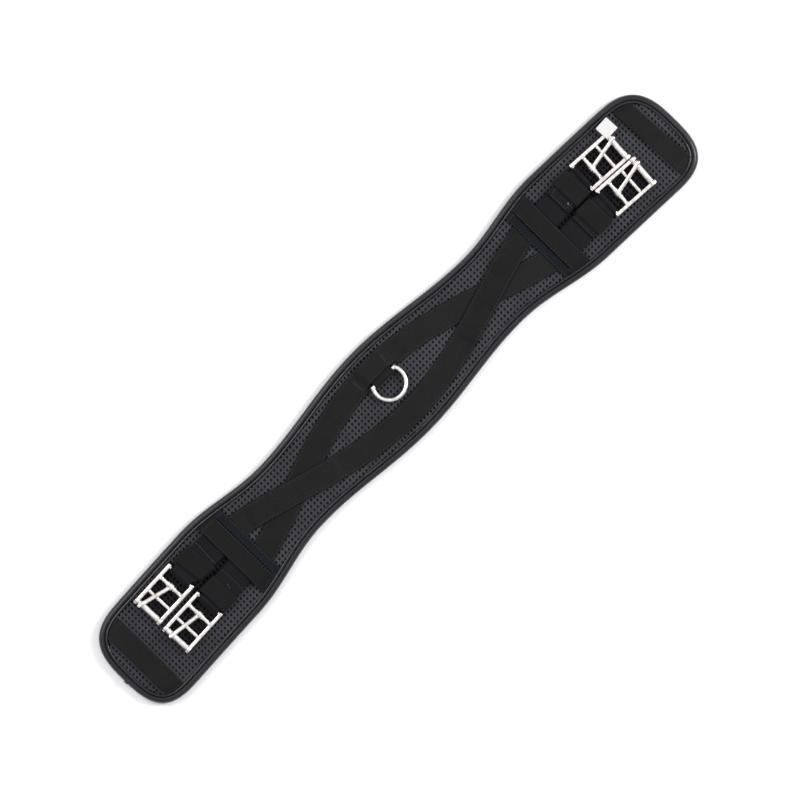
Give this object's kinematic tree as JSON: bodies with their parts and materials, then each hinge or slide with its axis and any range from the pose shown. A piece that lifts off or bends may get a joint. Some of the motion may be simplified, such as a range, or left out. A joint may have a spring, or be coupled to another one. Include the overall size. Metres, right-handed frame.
{
  "type": "saddle girth",
  "caption": "Padded saddle girth: shaped mesh-topped pad with crossed webbings, elastic straps with roller buckles at both ends and a D-ring in the middle.",
  "frame": {"origin": "middle of the girth, on the face that lies against the horse", "axes": "+X along the girth, +Y across it away from the bowed ends, +Z out of the buckle side"},
  "size_m": [0.7878, 0.1206, 0.0223],
  "materials": {
    "edge_neoprene": "smooth synthetic lining, low sheen",
    "foam": "closed-cell foam",
    "spacer_mesh": "open spacer mesh",
    "piping_cord": "covered cord",
    "webbing": "cross-ribbed polyester webbing",
    "ribbed_band": "ribbed tape",
    "flat_tape": "flat woven tape",
    "elastic": "woven elastic",
    "bright_metal": "polished stainless steel",
    "tag_card": "plain white card"
  },
  "bodies": {
    "pad": {"lining": "edge_neoprene", "foam_core": "foam", "mesh_top": "spacer_mesh", "piping": "piping_cord", "binding_lap": "edge_neoprene", "crossing_web_over": "webbing", "crossing_web_under": "webbing", "anchor_band_left": "ribbed_band", "anchor_band_right": "ribbed_band", "band_tape_left": "flat_tape", "band_tape_right": "flat_tape", "end_keeper_left": "webbing", "end_keeper_right": "webbing", "d_ring_tab": "webbing"},
    "strap_left_upper": {"elastic_strap_left_upper": "elastic"},
    "keeper_left_upper": {"strap_keeper_left_upper": "elastic"},
    "buckle_left_upper": {"buckle_frame_left_upper": "bright_metal"},
    "roller_left_upper": {"buckle_roller_left_upper": "bright_metal"},
    "tongue_left_upper": {"buckle_tongue_left_upper": "bright_metal"},
    "strap_left_lower": {"elastic_strap_left_lower": "elastic"},
    "keeper_left_lower": {"strap_keeper_left_lower": "elastic"},
    "buckle_left_lower": {"buckle_frame_left_lower": "bright_metal"},
    "roller_left_lower": {"buckle_roller_left_lower": "bright_metal"},
    "tongue_left_lower": {"buckle_tongue_left_lower": "bright_metal"},
    "strap_right_upper": {"elastic_strap_right_upper": "elastic"},
    "keeper_right_upper": {"strap_keeper_right_upper": "elastic"},
    "buckle_right_upper": {"buckle_frame_right_upper": "bright_metal", "size_tag": "tag_card"},
    "roller_right_upper": {"buckle_roller_right_upper": "bright_metal"},
    "tongue_right_upper": {"buckle_tongue_right_upper": "bright_metal"},
    "strap_right_lower": {"elastic_strap_right_lower": "elastic"},
    "keeper_right_lower": {"strap_keeper_right_lower": "elastic"},
    "buckle_right_lower": {"buckle_frame_right_lower": "bright_metal"},
    "roller_right_lower": {"buckle_roller_right_lower": "bright_metal"},
    "tongue_right_lower": {"buckle_tongue_right_lower": "bright_metal"},
    "ring": {"d_ring": "bright_metal"}
  },
  "joints": [
    {"name": "left_upper_stretch", "type": "slide", "parent": "pad", "child": "strap_left_upper", "axis": [-0.999, 0.0443, 0], "range_m": [0, 0.015], "stiffness_N_per_m": 1500},
    {"name": "left_upper_buckle_tilt", "type": "hinge", "parent": "strap_left_upper", "child": "buckle_left_upper", "pos_m": [-0.2794, 0.02073, 0.0141], "axis": [-0.0279, 0.9996, 0], "range_deg": [0, 70]},
    {"name": "left_upper_tongue", "type": "hinge", "parent": "buckle_left_upper", "child": "tongue_left_upper", "pos_m": [-0.29309, 0.02034, 0.0141], "axis": [-0.0279, 0.9996, 0], "range_deg": [0, 105]},
    {"name": "left_upper_roller", "type": "hinge", "parent": "buckle_left_upper", "child": "roller_left_upper", "pos_m": [-0.32598, 0.01942, 0.0141], "axis": [-0.0279, 0.9996, 0], "continuous": true},
    {"name": "left_upper_keeper", "type": "slide", "parent": "strap_left_upper", "child": "keeper_left_upper", "axis": [0.999, -0.0443, 0], "range_m": [-0.0015, 0.013]},
    {"name": "left_lower_stretch", "type": "slide", "parent": "pad", "child": "strap_left_lower", "axis": [-0.9997, -0.0227, 0], "range_m": [0, 0.015], "stiffness_N_per_m": 1500},
    {"name": "left_lower_buckle_tilt", "type": "hinge", "parent": "strap_left_lower", "child": "buckle_left_lower", "pos_m": [-0.2794, -0.01893, 0.0141], "axis": [-0.0332, 0.9995, 0], "range_deg": [0, 70]},
    {"name": "left_lower_tongue", "type": "hinge", "parent": "buckle_left_lower", "child": "tongue_left_lower", "pos_m": [-0.29309, -0.01938, 0.0141], "axis": [-0.0332, 0.9995, 0], "range_deg": [0, 105]},
    {"name": "left_lower_roller", "type": "hinge", "parent": "buckle_left_lower", "child": "roller_left_lower", "pos_m": [-0.32597, -0.02047, 0.0141], "axis": [-0.0332, 0.9995, 0], "continuous": true},
    {"name": "left_lower_keeper", "type": "slide", "parent": "strap_left_lower", "child": "keeper_left_lower", "axis": [0.9997, 0.0227, 0], "range_m": [0, 0.02]},
    {"name": "right_upper_stretch", "type": "slide", "parent": "pad", "child": "strap_right_upper", "axis": [0.9999, 0.0146, 0], "range_m": [0, 0.008], "stiffness_N_per_m": 1500},
    {"name": "right_upper_buckle_tilt", "type": "hinge", "parent": "strap_right_upper", "child": "buckle_right_upper", "pos_m": [0.2864, 0.01358, 0.0141], "axis": [-0.0645, -0.9979, 0], "range_deg": [0, 70]},
    {"name": "right_upper_tongue", "type": "hinge", "parent": "buckle_right_upper", "child": "tongue_right_upper", "pos_m": [0.30007, 0.01269, 0.0141], "axis": [-0.0645, -0.9979, 0], "range_deg": [0, 105]},
    {"name": "right_upper_roller", "type": "hinge", "parent": "buckle_right_upper", "child": "roller_right_upper", "pos_m": [0.3329, 0.01057, 0.0141], "axis": [-0.0645, -0.9979, 0], "continuous": true},
    {"name": "right_upper_keeper", "type": "slide", "parent": "strap_right_upper", "child": "keeper_right_upper", "axis": [-0.9999, -0.0146, 0], "range_m": [0, 0.02]},
    {"name": "right_lower_stretch", "type": "slide", "parent": "pad", "child": "strap_right_lower", "axis": [1, 0.0042, 0], "range_m": [0, 0.008], "stiffness_N_per_m": 1500},
    {"name": "right_lower_buckle_tilt", "type": "hinge", "parent": "strap_right_lower", "child": "buckle_right_lower", "pos_m": [0.2864, -0.02237, 0.0141], "axis": [-0.0715, -0.9974, 0], "range_deg": [0, 70]},
    {"name": "right_lower_tongue", "type": "hinge", "parent": "buckle_right_lower", "child": "tongue_right_lower", "pos_m": [0.30007, -0.02336, 0.0141], "axis": [-0.0715, -0.9974, 0], "range_deg": [0, 105]},
    {"name": "right_lower_roller", "type": "hinge", "parent": "buckle_right_lower", "child": "roller_right_lower", "pos_m": [0.33288, -0.02571, 0.0141], "axis": [-0.0715, -0.9974, 0], "continuous": true},
    {"name": "right_lower_keeper", "type": "slide", "parent": "strap_right_lower", "child": "keeper_right_lower", "axis": [-1, -0.0042, 0], "range_m": [-0.004, 0.02]},
    {"name": "d_ring_swing", "type": "hinge", "parent": "pad", "child": "ring", "pos_m": [0.0047, 0.0149, 0.01435], "axis": [-1, 0, 0], "range_deg": [0, 125]}
  ]
}
